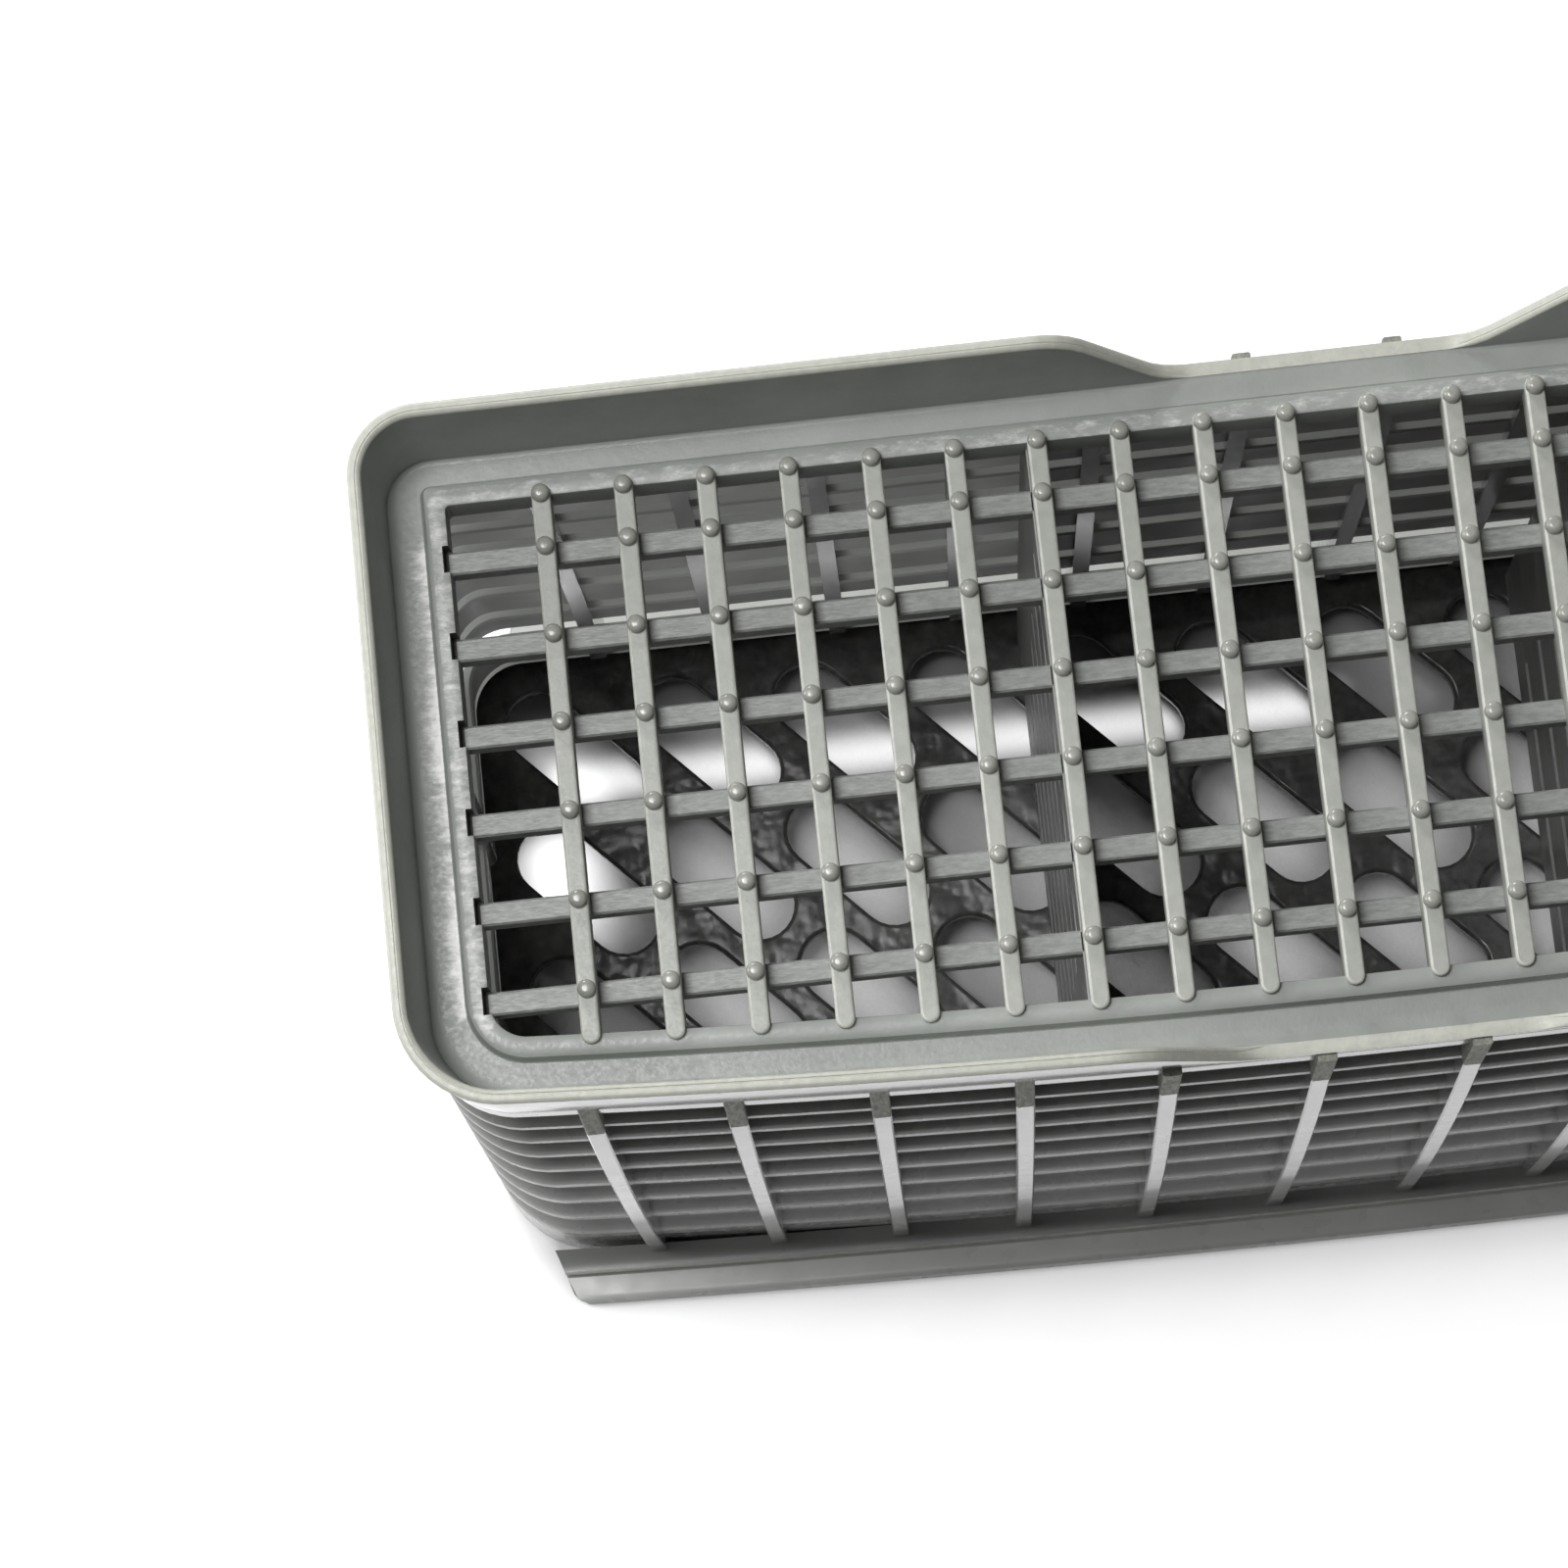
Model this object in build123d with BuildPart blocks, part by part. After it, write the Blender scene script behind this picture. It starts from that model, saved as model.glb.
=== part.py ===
from build123d import *
import math
import os

# A slim dishwasher cutlery basket, standing on its mouth as it is photographed, with the drain grid up.
# The origin is the middle of the footprint on the table, X runs along the basket and +Y to its straight side.

# Drain grid: cross bars on top, long rails under them and a small stud over every crossing
bar_count = 20
bar_pitch = 10.0
bar_width = 2.3
bar_depth = 3.7
bar_stands = 1.0
bar_lap = 1.35
rail_count = 6
rail_pitch = 10.82
rail_shift = 0.94
rail_width = 2.8
rail_depth = 3.0
stud_diameter = 2.2
stud_sides = 4
stud_taper = 20.0
stud_height = 1.3

# Frame around the grid: a raised border, a lower ledge and a flared skirt that dips in the middle
end_gap = 11.7
opening_width = 68.4
frame_end = 8.5
frame_back = 7.6
frame_front = 8.3
border_width = 3.3
border_rise = 1.5
border_depth = 5.2
ledge_thickness = 2.5
corner_back = 7.0
corner_front = 11.0
corner_facets = 3
opening_corner_back = 0.6
opening_corner_front = 4.5
bow_radius = 1720.0
bow_facets = 6
skirt_height = 15.8
skirt_thickness = 1.7
skirt_set_in = 1.25
skirt_flare = 1.15
dip_top = 62.0
dip_bottom = 37.0
dip_round = 8.0

# Walls: louvres that lean out towards the mouth, tied by upright ribs
height = 145.0
wall_draft = 1.5
rim_band = 7.2
rim_thickness = 2.6
collar_height = 13.7
louvre_count = 8
louvre_growth = 1.085
louvre_gap = 2.4
louvre_lean = 2.2
louvre_thickness = 1.4
rib_width = 2.3
rib_stand = 1.3
rib_depth = 0.8
rib_head = 0.6
rib_taper = 14.0
rib_pitch_middle = 18.3
rib_pitch_end = 17.3
end_rib_pitch = 28.0
end_rib_count = 2

# Mouth: plain collar with a rebate for the separator, and a stepped flange along both long sides
flange_length = 218.0
flange_stand = 6.3
flange_thickness = 3.5
flange_bow_radius = 3100.0
flange_end_run = 3.4
step_stand = 2.4
step_height = 2.0
collar_thickness = 2.4
collar_lean = 0.6
rebate_width = 1.0
rebate_depth = 8.2

# Partitions: two slotted cross walls that make three compartments
partition_spacing = 71.0
partition_thickness = 1.6
partition_bite = 0.5
partition_slot_height = 3.0
partition_slot_pitch = 16.0
partition_margin = 9.0

# Separator: a plate with leaning round-ended slots, seated in the mouth
plate_thickness = 2.4
plate_clearance = 0.25
plate_margin = 3.0
slot_width = 10.0
slot_run = 13.8
slot_lean = -46.0
slot_facets = 3
slot_pitch = 19.55
slot_row_pitch = 19.7
slot_shift_x = -4.0
slot_shift_y = -1.05

# Plan sizes worked out from the values above
opening_length = (bar_count - 1) * bar_pitch + 2 * end_gap
wall_length = opening_length + 2 * frame_end
wall_width = opening_width + frame_back + frame_front
opening_back = wall_width / 2 - frame_back
opening_front = wall_width / 2 - frame_front
bar_places = [(i - (bar_count - 1) / 2) * bar_pitch for i in range(bar_count)]
middle_rib = rib_pitch_middle * 3 / 2
end_rib_run = wall_length / 2 - corner_front - rib_width - middle_rib
rib_steps = range(int(end_rib_run // rib_pitch_end) + 1)
half_ribs = [rib_pitch_middle / 2] + [middle_rib + rib_pitch_end * i for i in rib_steps]
rib_places = sorted(side * x for x in half_ribs for side in (-1, 1))
end_rib_places = [(i - (end_rib_count - 1) / 2) * end_rib_pitch for i in range(end_rib_count)]

# Heights worked out from the values above
ledge_top = height - skirt_height
ledge_bottom = ledge_top - ledge_thickness
border_top = ledge_top + border_rise
bar_top = border_top + bar_stands
bar_bottom = bar_top - bar_depth
rail_bottom = bar_bottom - rail_depth
rim_bottom = ledge_top - rim_band
draft_slope = math.tan(math.radians(wall_draft))
mouth_reach = ledge_top * draft_slope
growths = [louvre_growth**i for i in range(louvre_count)]
louvre_first = (rim_bottom - collar_height) / sum(growths)
lips = [rim_bottom - louvre_first * sum(growths[: k + 1]) for k in range(louvre_count)]


def reach(z):
    """How far the drafted wall line stands out at height z, past its place at the ledge."""
    return (ledge_top - z) * draft_slope


def front_edge(x, front, radius):
    """The y of the bowed front line at x, for a line that stands at -front in the middle."""
    return radius - front - math.sqrt(radius**2 - x**2)


def corner(x, y, radius, start):
    """The points of a rounded corner in a few flat facets, a quarter turn on from the angle start."""
    turns = [math.radians(start + 90 * k / corner_facets) for k in range(corner_facets + 1)]
    return [(x + radius * math.cos(turn), y + radius * math.sin(turn)) for turn in turns]


def plan(half_length, back, front, radius, round_back, round_front):
    """A plan outline with a straight back and ends, and a front that bows in a few long facets."""
    back_x = half_length - round_back
    back_y = back - round_back
    front_x = half_length - round_front
    front_y = front_edge(front_x, front, radius) + round_front
    points = corner(front_x, front_y, round_front, -90)
    points += corner(back_x, back_y, round_back, 0)
    points += corner(-back_x, back_y, round_back, 90)
    points += corner(-front_x, front_y, round_front, 180)
    bow_places = [front_x * (2 * k / bow_facets - 1) for k in range(1, bow_facets)]
    points += [(x, front_edge(x, front, radius)) for x in bow_places]
    with BuildSketch() as shape:
        with BuildLine():
            Polyline(*points, close=True)
        make_face()
    return shape.sketch


def wall_plan(grow):
    """The wall outline at the ledge, moved outwards by grow."""
    half_width = wall_width / 2 + grow
    rounds = (corner_back + grow, corner_front + grow)
    return plan(wall_length / 2 + grow, half_width, half_width, bow_radius + grow, *rounds)


def opening_plan(grow):
    """The grid opening, moved outwards by grow, with nearly square back corners."""
    sides = (opening_length / 2 + grow, opening_back + grow, opening_front + grow)
    return plan(*sides, bow_radius + grow, opening_corner_back + grow, opening_corner_front + grow)


def wall_ring(low, high, lean, thickness):
    """One ring of wall between two heights, leaning in by lean at its top."""
    rise = high - low
    taper = math.degrees(math.atan(draft_slope + lean / rise))
    with BuildPart() as ring:
        with BuildSketch(Plane.XY.offset(low)):
            add(wall_plan(reach(low)))
        extrude(amount=rise, taper=taper)
        with BuildSketch(Plane.XY.offset(low)):
            add(wall_plan(reach(low) - thickness))
        extrude(amount=rise, taper=taper, mode=Mode.SUBTRACT)
    return ring.part


def front_line(x, grow):
    """The y of the front wall at x, moved outwards by grow."""
    return front_edge(x, wall_width / 2 + grow, bow_radius + grow)


def back_line(x, grow):
    """The y of the back wall, moved outwards by grow."""
    return wall_width / 2 + grow


def right_line(y, grow):
    """The x of the right end wall, moved outwards by grow."""
    return wall_length / 2 + grow


def left_line(y, grow):
    """The x of the left end wall, moved outwards by grow."""
    return -right_line(y, grow)


def rib_profile(line, place, head_stand):
    """An upright rib's section, on the wall line that the function line gives."""
    top = ledge_top - rib_head
    shoulder = top - rib_taper
    return [
        (line(place, reach(top) - rib_depth), top),
        (line(place, reach(top) + head_stand), top),
        (line(place, reach(shoulder) + rib_stand), shoulder),
        (line(place, reach(flange_thickness) + rib_stand), flange_thickness),
        (line(place, reach(flange_thickness) - rib_depth), flange_thickness),
    ]


# Wall rings from the rim band through the louvres to the collar
with BuildPart() as walls:
    add(wall_ring(rim_bottom, ledge_top, 0, rim_thickness))
    for lip, above in zip(lips, [rim_bottom] + lips):
        add(wall_ring(lip, above - louvre_gap, louvre_lean, louvre_thickness))
    add(wall_ring(0, lips[-1] - louvre_gap, collar_lean, collar_thickness))

# Upright ribs, run out under the skirt and full at the low rim
with BuildPart() as ribs:
    for x in rib_places:
        head_stand = rib_stand if abs(x) < dip_top / 2 else 0
        for line in (front_line, back_line):
            with BuildSketch(Plane.YZ.offset(x - rib_width / 2)):
                with BuildLine():
                    Polyline(*rib_profile(line, x, head_stand), close=True)
                make_face()
    for y in end_rib_places:
        for line in (right_line, left_line):
            with BuildSketch(Plane.XZ.offset(-y - rib_width / 2)):
                with BuildLine():
                    Polyline(*rib_profile(line, y, 0), close=True)
                make_face()
    extrude(amount=rib_width)

# Stepped flange along both long sides of the mouth
with BuildPart() as flange:
    end_x = flange_length / 2
    root_x = end_x + flange_end_run
    root_y = wall_width / 2 - flange_stand
    for stand, low, high in (
        (flange_stand, 0, flange_thickness),
        (step_stand, flange_thickness, flange_thickness + step_height),
    ):
        outer = wall_width / 2 + mouth_reach + stand
        end_y = front_edge(end_x, outer, flange_bow_radius)
        with BuildSketch(Plane.XY.offset(low)):
            with BuildLine():
                ThreePointArc((-end_x, end_y), (0, -outer), (end_x, end_y))
                Polyline((end_x, end_y), (root_x, -root_y), (root_x, root_y), (end_x, outer), (-end_x, outer))
                Polyline((-end_x, outer), (-root_x, root_y), (-root_x, -root_y), (-end_x, end_y))
            make_face()
        extrude(amount=high - low)
    with BuildSketch():
        add(wall_plan(mouth_reach - collar_thickness))
    extrude(amount=flange_thickness + step_height, mode=Mode.SUBTRACT)

# Ledge, raised border and flared skirt around the grid opening
with BuildPart() as frame:
    flare_slope = skirt_flare / skirt_height
    flare = math.degrees(math.atan(flare_slope))
    over = height + dip_round
    inner_top = (over - ledge_top) * flare_slope - skirt_set_in
    with BuildSketch(Plane.XY.offset(over)):
        add(wall_plan(inner_top + skirt_thickness))
    extrude(amount=over - ledge_bottom, dir=(0, 0, -1), taper=flare)
    with BuildSketch(Plane.XY.offset(over)):
        add(wall_plan(inner_top))
    extrude(amount=over - ledge_top, dir=(0, 0, -1), taper=flare, mode=Mode.SUBTRACT)
    with BuildSketch(Plane.XZ):
        with BuildLine():
            Polyline(
                (-wall_length, height),
                (-dip_top / 2, height),
                (-dip_bottom / 2, ledge_top),
                (dip_bottom / 2, ledge_top),
                (dip_top / 2, height),
                (wall_length, height),
                (wall_length, over + dip_round),
                (-wall_length, over + dip_round),
                close=True,
            )
        dip = make_face()
        turns = [v for v in dip.vertices() if abs(v.X) < wall_length / 2]
        fillet(turns, dip_round)
    extrude(amount=wall_width, both=True, mode=Mode.SUBTRACT)
    with BuildSketch(Plane.XY.offset(border_top - border_depth)):
        add(opening_plan(border_width))
    extrude(amount=border_depth)
    with BuildSketch(Plane.XY.offset(ledge_bottom - border_depth)):
        add(opening_plan(0))
    extrude(amount=height, mode=Mode.SUBTRACT)

# Cross bars that lap onto the border, long rails under them and studs on top
with BuildPart() as grid:
    back_end = opening_back + bar_lap
    with BuildSketch(Plane.XY.offset(bar_bottom)):
        for x in bar_places:
            front_end = front_edge(x, opening_front, bow_radius) - bar_lap
            with Locations((x, (back_end + front_end) / 2)):
                Rectangle(bar_width, back_end - front_end)
    extrude(amount=bar_depth)
    with BuildSketch(Plane.XY.offset(rail_bottom)):
        with Locations((0, rail_shift)):
            with GridLocations(0, rail_pitch, 1, rail_count):
                Rectangle(opening_length + border_width, rail_width)
    extrude(amount=rail_depth)
    with BuildSketch(Plane.XY.offset(bar_top)):
        with Locations((0, rail_shift)):
            with GridLocations(bar_pitch, rail_pitch, bar_count, rail_count):
                RegularPolygon(stud_diameter / 2, stud_sides)
        with Locations((0, opening_back)):
            with GridLocations(bar_pitch, 0, bar_count, 1):
                RegularPolygon(stud_diameter / 2, stud_sides)
    extrude(amount=stud_height, taper=stud_taper)

# Slotted cross walls that make three compartments
with BuildPart() as partitions:
    foot = rebate_depth + plate_clearance
    foot_grow = reach(foot) - rim_thickness + partition_bite
    head_grow = reach(bar_bottom) - rim_thickness + partition_bite
    slot_count = int((rail_bottom - foot) // partition_slot_pitch)
    for x in (-partition_spacing / 2, partition_spacing / 2):
        with BuildSketch(Plane.YZ.offset(x - partition_thickness / 2)):
            with BuildLine():
                Polyline(
                    (front_line(x, foot_grow), foot),
                    (back_line(x, foot_grow), foot),
                    (back_line(x, head_grow), bar_bottom),
                    (front_line(x, head_grow), bar_bottom),
                    close=True,
                )
            make_face()
            with Locations((0, (foot + rail_bottom) / 2)):
                with GridLocations(0, partition_slot_pitch, 1, slot_count):
                    slot_length = opening_width - 2 * partition_margin
                    Rectangle(slot_length, partition_slot_height, mode=Mode.SUBTRACT)
    extrude(amount=partition_thickness)

# The basket is one moulding, with the rebate for the separator cut in its mouth
with BuildPart() as basket_body:
    add([walls.part, flange.part, ribs.part, frame.part, grid.part, partitions.part])
    with BuildSketch():
        add(wall_plan(mouth_reach - collar_thickness + rebate_width))
    extrude(amount=rebate_depth, mode=Mode.SUBTRACT)

# Separator plate with leaning slots, seated against the step of the rebate
with BuildPart() as separator_plate:
    plate_grow = mouth_reach - collar_thickness + rebate_width - plate_clearance
    lean = math.radians(slot_lean)
    slot_long = abs(slot_run * math.cos(lean)) + slot_width
    slot_tall = abs(slot_run * math.sin(lean)) + slot_width
    free_length = wall_length + 2 * (plate_grow - plate_margin - abs(slot_shift_x)) - slot_long
    free_width = wall_width + 2 * (plate_grow - plate_margin) - slot_tall
    slot_columns = int(free_length // slot_pitch) + 1
    slot_rows = int(free_width // slot_row_pitch) + 1
    half_turn = [math.radians(180 * k / slot_facets - 90) for k in range(slot_facets + 1)]
    slot_end = [(math.cos(turn), math.sin(turn)) for turn in half_turn]
    right_end = [(slot_run / 2 + slot_width / 2 * x, slot_width / 2 * y) for x, y in slot_end]
    with BuildSketch(mode=Mode.PRIVATE) as slot:
        with BuildLine():
            Polyline(*right_end, *[(-x, -y) for x, y in right_end], close=True)
        make_face()
    with BuildSketch(Plane.XY.offset(rebate_depth - plate_thickness)):
        add(wall_plan(plate_grow))
        with Locations((slot_shift_x, slot_shift_y)):
            with GridLocations(slot_pitch, slot_row_pitch, slot_columns, slot_rows):
                add(slot.sketch, rotation=slot_lean, mode=Mode.SUBTRACT)
    extrude(amount=plate_thickness)

os.makedirs("parts", exist_ok=True)
for name, piece in (("basket_body", basket_body), ("separator_plate", separator_plate)):
    piece.part.label = name
    export_step(piece.part, f"parts/{name}.step")
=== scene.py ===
import math

import bmesh
import bpy
from mathutils import Matrix, Vector


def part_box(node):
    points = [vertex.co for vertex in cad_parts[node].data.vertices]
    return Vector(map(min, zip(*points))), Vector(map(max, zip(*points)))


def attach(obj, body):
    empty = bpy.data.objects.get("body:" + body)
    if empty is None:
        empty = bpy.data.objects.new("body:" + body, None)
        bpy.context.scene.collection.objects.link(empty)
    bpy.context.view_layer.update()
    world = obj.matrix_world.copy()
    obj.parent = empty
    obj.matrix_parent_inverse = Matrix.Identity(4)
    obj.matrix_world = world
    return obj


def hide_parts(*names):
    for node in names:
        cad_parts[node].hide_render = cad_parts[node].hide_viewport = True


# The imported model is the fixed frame. Lengths below are in millimetres, and a mesh is made in metres.
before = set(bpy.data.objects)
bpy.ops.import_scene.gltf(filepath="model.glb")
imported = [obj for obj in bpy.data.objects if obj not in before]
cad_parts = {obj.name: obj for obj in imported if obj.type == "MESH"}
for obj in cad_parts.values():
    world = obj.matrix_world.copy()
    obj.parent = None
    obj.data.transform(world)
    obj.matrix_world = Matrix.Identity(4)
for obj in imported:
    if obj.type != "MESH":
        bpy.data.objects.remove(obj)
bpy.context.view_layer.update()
MM = 0.001

# Camera, as fitted to the photograph
CAMERA_PLACE = (-56.64, -119.98, 701.47)
CAMERA_RIGHT = (0.99409, -0.09988, -0.04254)
CAMERA_UP = (0.10633, 0.97484, 0.19589)
CAMERA_BACK = (0.0219, -0.19926, 0.9797)
CAMERA_LENS = 112.5
CAMERA_SENSOR = 36.0

# Drain grid
BAR_COUNT = 20
BAR_PITCH = 10.0
BAR_WIDTH = 2.3
BAR_DEPTH = 3.7
BAR_STANDS = 1.0
BAR_LAP = 1.35
BAR_EDGE = 0.32
BAR_EDGE_BAND = 0.04
RAIL_COUNT = 6
RAIL_PITCH = 10.82
RAIL_SHIFT = 0.94
RAIL_WIDTH = 2.8
RAIL_DEPTH = 3.0
RAIL_EDGE = 0.25
RAIL_LAP = 0.3
STUD_RADIUS = 1.1
STUD_HEIGHT = 1.3
STUD_DOME = 0.7
STUD_SINK = 0.2
NOTCH_RUN = 0.8
NOTCH_WIDTH = 3.3
NOTCH_OVERLAP = 0.5
NOTCH_SINK = 0.4
NOTCH_CLEAR = 1.0

# Frame around the grid
END_GAP = 11.7
OPENING_WIDTH = 68.4
FRAME_END = 8.5
FRAME_BACK = 7.6
FRAME_FRONT = 8.3
BORDER_WIDTH = 3.3
BORDER_RISE = 1.5
BORDER_DEPTH = 5.2
BORDER_FLAT = 2.0
BORDER_ROUND = 0.25
BORDER_CROWN = 0.05
BORDER_SHOULDER = 0.5
BORDER_CORNER_BACK = 1.6
BORDER_FOOT = 0.4
FOOT_GROOVE = 0.15
FOOT_GROOVE_DEPTH = 0.12
FOOT_RISE = 0.2
SCRAPED_WIDTH = 2.2
LEDGE_THICKNESS = 2.5
LEDGE_EDGE = 0.3
LEDGE_LAP = 0.2
CORNER_BACK = 7.0
CORNER_FRONT = 11.0
OPENING_CORNER_BACK = 0.6
OPENING_CORNER_FRONT = 4.5
BOW_RADIUS = 1720.0
SKIRT_THICKNESS = 1.7
SKIRT_HEIGHT = 15.8
SKIRT_SET_IN = 1.25
SKIRT_FLARE = 1.15
SKIRT_EDGE = 0.5
SKIRT_FILLET = 0.6
SKIRT_LOWEST = 0.1
SKIRT_ROUND_SHARE = 0.4
SKIRT_GROOVE = 0.1
SKIRT_GROOVE_SHARE = 0.1
SKIRT_GROOVE_WIDTH = 0.26
SKIRT_GROOVE_SIDE = 0.08
DIP_TOP = 62.0
DIP_BOTTOM = 37.0
DIP_ROUND = 8.0

# Walls
WALL_DRAFT = 1.5
RIM_BAND = 7.2
RIM_THICKNESS = 2.6
COLLAR_HEIGHT = 13.7
LOUVRE_COUNT = 8
LOUVRE_GROWTH = 1.085
LOUVRE_GAP = 2.4
LOUVRE_LEAN = 2.2
LOUVRE_THICKNESS = 1.4
LOUVRE_EDGE = 0.3
LIP_EDGE = 0.45
LIP_INSIDE = 3.0
LIP_INSIDE_OPEN = 2.0
OPEN_LOUVRE = 6
LOUVRE_STEPS = 14
LIP_UPRIGHT = 0.2
LIP_SHELF = 0.3
# Share of each louvre, up from its lip, that the painted highlight lightens
LIP_HIGHLIGHT_SHARE = 0.45
RIB_WIDTH = 2.3
RIB_STAND = 1.3
RIB_BOW = 1.2
RIB_DEPTH = 0.8
RIB_INSIDE = 4.3
RIB_HEAD = 0.6
RIB_HEAD_STAND = 0.2
RIB_FOOT_STAND = 0.52
RIB_TAPER = 14.0
RIB_EDGE = 0.2
RIB_TIP = 2.5
RIB_STEPS = 12
RIB_PITCH_MIDDLE = 18.3
RIB_PITCH_END = 17.3
RIBS_PER_END = 5
END_RIB_PITCH = 28.0

# Mouth, cross walls and separator
FLANGE_LENGTH = 218.0
FLANGE_STAND = 6.27
FLANGE_THICKNESS = 3.5
FLANGE_BOW_RADIUS = 3100.0
FLANGE_END_RUN = 2.0
FLANGE_ROUND = 1.2
FLANGE_EDGE = 0.5
FLANGE_BITE = 1.0
STEP_STAND = 2.4
STEP_HEIGHT = 2.0
STEP_EDGE = 0.3
STEP_HOLLOW = ((-FLANGE_BITE, 1.6), (0.0, 0.7), (0.6, 0.25), (1.3, 0.0))
COLLAR_THICKNESS = 2.4
COLLAR_LEAN = 0.6
REBATE_WIDTH = 1.0
PARTITION_SPACING = 71.0
PARTITION_THICKNESS = 1.6
PARTITION_BITE = 0.5
PARTITION_SLOT_HEIGHT = 3.0
PARTITION_SLOT_PITCH = 16.0
PARTITION_MARGIN = 9.0
PLATE_CLEARANCE = 0.25
PLATE_EDGE = 0.6
SLOT_WIDTH = 10.0
SLOT_RUN = 13.8
SLOT_LEAN = -46.0
SLOT_PITCH = 19.55
SLOT_ROW_PITCH = 19.7
SLOT_COLUMNS = 11
SLOT_ROWS = 4
SLOT_SHIFT = (-4.0, -1.05)

# Scraped flakes on the frame, and the flakes and cover shared with the painted highlight on the louvre lips
FLAKE_LEAN = 25.0
FLAKE_STRETCH = 2.5
FLAKE_SIZE = 1.1
WEAR_REACH = 3.6
WEAR_BORDER = 0.38
WEAR_BORDER_END = 0.5
WEAR_LEDGE = 1.05
WEAR_FADE = 6.0
WEAR_WAVE = 4.3
WEAR_PATCHY = 0.2
COVER_START = 0.3
COVER_FULL = 0.95
FLAKE_DETAIL = 5
FLAKE_ROUGHNESS = 0.7

# What all finishes share
PATCH_DETAIL = 6
PATCH_ROUGHNESS = 0.65
NOISE_LOW = 0.3
NOISE_MIDDLE = 0.5
NOISE_HIGH = 0.7
GLOSS_SPREAD = 0.2
COAT_ROUGHNESS = 0.08
FLOW_SPECULAR = 0.35

# Stage
FLOOR_TONE = (0.5, 0.5, 0.505)
FLOOR_ROUGHNESS = 0.7
FLOOR_HALF = 4000.0
FLOOR_LIFT = 0.74
FLOOR_SHADE_REACH = 40.0
FLOOR_SHADE_DARK = 0.4
FLOOR_SHADE_LIGHT = 0.75
WORLD_LEVEL = 0.06

# How finely the outlines are drawn
CORNER_STEPS = 12
LONG_STEPS = 150
END_STEPS = 40
FLANGE_STEPS = 60
BAR_TURN_STEPS = 8
SLOT_TURN_STEPS = 12
STUD_TURN_STEPS = 20
STUD_DOME_STEPS = 5
EDGE_STEPS = 3
SMALL_EDGE_STEPS = 2

# How near two heights are when they count as one
NEAR = 0.1

# Sizes from the frame and from the values above
body_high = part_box("basket_body")[1]
plate_low, plate_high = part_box("separator_plate")
HEIGHT = body_high[2] / MM
PLATE_TOP = plate_high[2] / MM
PLATE_BOTTOM = plate_low[2] / MM
OPENING_LENGTH = (BAR_COUNT - 1) * BAR_PITCH + 2 * END_GAP
WALL_LENGTH = OPENING_LENGTH + 2 * FRAME_END
WALL_WIDTH = OPENING_WIDTH + FRAME_BACK + FRAME_FRONT
OPENING_BACK = WALL_WIDTH / 2 - FRAME_BACK
OPENING_FRONT = WALL_WIDTH / 2 - FRAME_FRONT
LEDGE_TOP = HEIGHT - SKIRT_HEIGHT
LEDGE_BOTTOM = LEDGE_TOP - LEDGE_THICKNESS
BORDER_TOP = LEDGE_TOP + BORDER_RISE
BAR_TOP = BORDER_TOP + BAR_STANDS
BAR_BOTTOM = BAR_TOP - BAR_DEPTH
RAIL_BOTTOM = BAR_BOTTOM - RAIL_DEPTH
RIM_BOTTOM = LEDGE_TOP - RIM_BAND
DRAFT = math.tan(math.radians(WALL_DRAFT))
FLARE = SKIRT_FLARE / SKIRT_HEIGHT
MOUTH_REACH = LEDGE_TOP * DRAFT
GROWTHS = [LOUVRE_GROWTH**i for i in range(LOUVRE_COUNT)]
LOUVRE_FIRST = (RIM_BOTTOM - COLLAR_HEIGHT) / sum(GROWTHS)
LIPS = [RIM_BOTTOM - LOUVRE_FIRST * sum(GROWTHS[: k + 1]) for k in range(LOUVRE_COUNT)]
BAR_PLACES = [(i - (BAR_COUNT - 1) / 2) * BAR_PITCH for i in range(BAR_COUNT)]
RAIL_PLACES = [RAIL_SHIFT + (i - (RAIL_COUNT - 1) / 2) * RAIL_PITCH for i in range(RAIL_COUNT)]
OUTER_RIBS = [RIB_PITCH_MIDDLE * 3 / 2 + RIB_PITCH_END * i for i in range(RIBS_PER_END)]
RIB_PLACES = sorted(side * x for x in [RIB_PITCH_MIDDLE / 2] + OUTER_RIBS for side in (-1, 1))
END_RIB_PLACES = [-END_RIB_PITCH / 2, END_RIB_PITCH / 2]

# Plan outlines as half length, back, front and corner radii, and the runs of points that draw them
WALL = (WALL_LENGTH / 2, WALL_WIDTH / 2, WALL_WIDTH / 2, CORNER_BACK, CORNER_FRONT)
OPENING = (OPENING_LENGTH / 2, OPENING_BACK, OPENING_FRONT, OPENING_CORNER_BACK, OPENING_CORNER_FRONT)
BORDER = (
    OPENING_LENGTH / 2 + BORDER_WIDTH,
    OPENING_BACK + BORDER_WIDTH,
    OPENING_FRONT + BORDER_WIDTH,
    BORDER_CORNER_BACK,
    OPENING_CORNER_FRONT + BORDER_WIDTH,
)
RUNS = (
    ("front right corner", CORNER_STEPS),
    ("right", END_STEPS),
    ("back right corner", CORNER_STEPS),
    ("back", LONG_STEPS),
    ("back left corner", CORNER_STEPS),
    ("left", END_STEPS),
    ("front left corner", CORNER_STEPS),
    ("front", LONG_STEPS),
)
STATIONS = [(run, k / steps) for run, steps in RUNS for k in range(steps)]


def reach(z):
    """How far the drafted wall line stands out at height z, past its place at the ledge."""
    return (LEDGE_TOP - z) * DRAFT


def front_edge(x, front, radius):
    """The y of the bowed front line at x, for a line that stands at -front in the middle."""
    return radius - front - math.sqrt(radius**2 - x**2)


def blend(start, end, share):
    """A value part of the way from start to end."""
    return start + (end - start) * share


def ease(share):
    """A share from 0 to 1, with a soft start and end."""
    return share**2 * (3 - 2 * share)


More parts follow.
